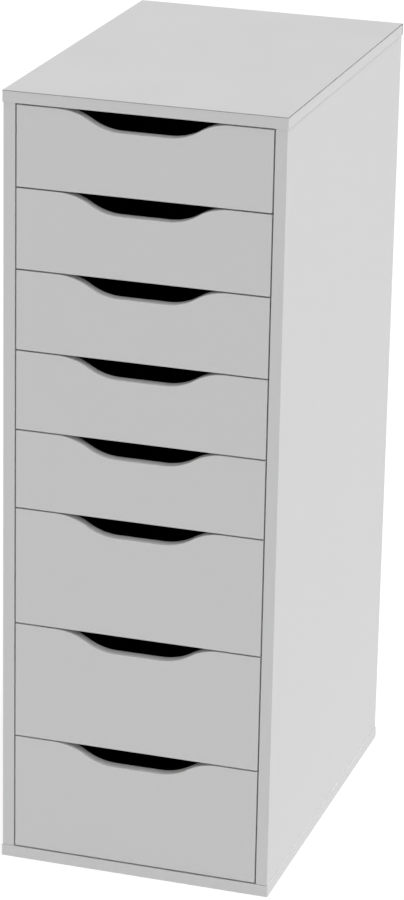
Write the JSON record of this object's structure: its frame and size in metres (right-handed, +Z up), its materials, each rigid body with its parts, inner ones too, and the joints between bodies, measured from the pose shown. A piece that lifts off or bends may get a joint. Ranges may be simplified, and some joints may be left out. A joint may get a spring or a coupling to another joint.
{
  "type": "chest of drawers",
  "caption": "Tall narrow chest of inset drawers in white lacquered board, shallow drawers above deep ones, each pulled out on steel runners by a curved finger notch in its front.",
  "frame": {"origin": "on the floor, under the middle of the whole chest", "axes": "+Z up; -Y out of the drawer fronts, so the drawers open along -Y; +X to the right of someone facing the fronts"},
  "size_m": [0.36, 0.528, 1.02],
  "materials": {
    "white_lacquer": "smooth satin white lacquer on wood-fibre board",
    "black_foil": "black melamine foil on particleboard",
    "drawer_hardboard": "black printed hardboard",
    "back_hardboard": "white painted hardboard",
    "zinc_steel": "bright zinc plated sheet steel"
  },
  "bodies": {
    "carcass": {"side_panel_left": "white_lacquer", "side_panel_right": "white_lacquer", "top_panel": "white_lacquer", "base_panel": "white_lacquer", "back_panel": "back_hardboard", "runner_left_1": "zinc_steel", "runner_right_1": "zinc_steel", "runner_left_2": "zinc_steel", "runner_right_2": "zinc_steel", "runner_left_3": "zinc_steel", "runner_right_3": "zinc_steel", "runner_left_4": "zinc_steel", "runner_right_4": "zinc_steel", "runner_left_5": "zinc_steel", "runner_right_5": "zinc_steel", "runner_left_6": "zinc_steel", "runner_right_6": "zinc_steel", "runner_left_7": "zinc_steel", "runner_right_7": "zinc_steel"},
    "drawer_1": {"drawer_1_front": "white_lacquer", "drawer_1_side_left": "black_foil", "drawer_1_side_right": "black_foil", "drawer_1_back": "black_foil", "drawer_1_bottom": "drawer_hardboard"},
    "drawer_2": {"drawer_2_front": "white_lacquer", "drawer_2_side_left": "black_foil", "drawer_2_side_right": "black_foil", "drawer_2_back": "black_foil", "drawer_2_bottom": "drawer_hardboard"},
    "drawer_3": {"drawer_3_front": "white_lacquer", "drawer_3_side_left": "black_foil", "drawer_3_side_right": "black_foil", "drawer_3_back": "black_foil", "drawer_3_bottom": "drawer_hardboard"},
    "drawer_4": {"drawer_4_front": "white_lacquer", "drawer_4_side_left": "black_foil", "drawer_4_side_right": "black_foil", "drawer_4_back": "black_foil", "drawer_4_bottom": "drawer_hardboard"},
    "drawer_5": {"drawer_5_front": "white_lacquer", "drawer_5_side_left": "black_foil", "drawer_5_side_right": "black_foil", "drawer_5_back": "black_foil", "drawer_5_bottom": "drawer_hardboard"},
    "drawer_6": {"drawer_6_front": "white_lacquer", "drawer_6_side_left": "black_foil", "drawer_6_side_right": "black_foil", "drawer_6_back": "black_foil", "drawer_6_bottom": "drawer_hardboard"},
    "drawer_7": {"drawer_7_front": "white_lacquer", "drawer_7_side_left": "black_foil", "drawer_7_side_right": "black_foil", "drawer_7_back": "black_foil", "drawer_7_bottom": "drawer_hardboard"},
    "drawer_8": {"drawer_8_front": "white_lacquer", "drawer_8_side_left": "black_foil", "drawer_8_side_right": "black_foil", "drawer_8_back": "black_foil", "drawer_8_bottom": "drawer_hardboard"}
  },
  "joints": [
    {"name": "drawer_1_slide", "type": "slide", "parent": "carcass", "child": "drawer_1", "axis": [0, -1, 0], "range_m": [0, 0.37]},
    {"name": "drawer_2_slide", "type": "slide", "parent": "carcass", "child": "drawer_2", "axis": [0, -1, 0], "range_m": [0, 0.37]},
    {"name": "drawer_3_slide", "type": "slide", "parent": "carcass", "child": "drawer_3", "axis": [0, -1, 0], "range_m": [0, 0.37]},
    {"name": "drawer_4_slide", "type": "slide", "parent": "carcass", "child": "drawer_4", "axis": [0, -1, 0], "range_m": [0, 0.37]},
    {"name": "drawer_5_slide", "type": "slide", "parent": "carcass", "child": "drawer_5", "axis": [0, -1, 0], "range_m": [0, 0.37]},
    {"name": "drawer_6_slide", "type": "slide", "parent": "carcass", "child": "drawer_6", "axis": [0, -1, 0], "range_m": [0, 0.37]},
    {"name": "drawer_7_slide", "type": "slide", "parent": "carcass", "child": "drawer_7", "axis": [0, -1, 0], "range_m": [0, 0.37]},
    {"name": "drawer_8_slide", "type": "slide", "parent": "carcass", "child": "drawer_8", "axis": [0, -1, 0], "range_m": [0, 0.37]}
  ]
}
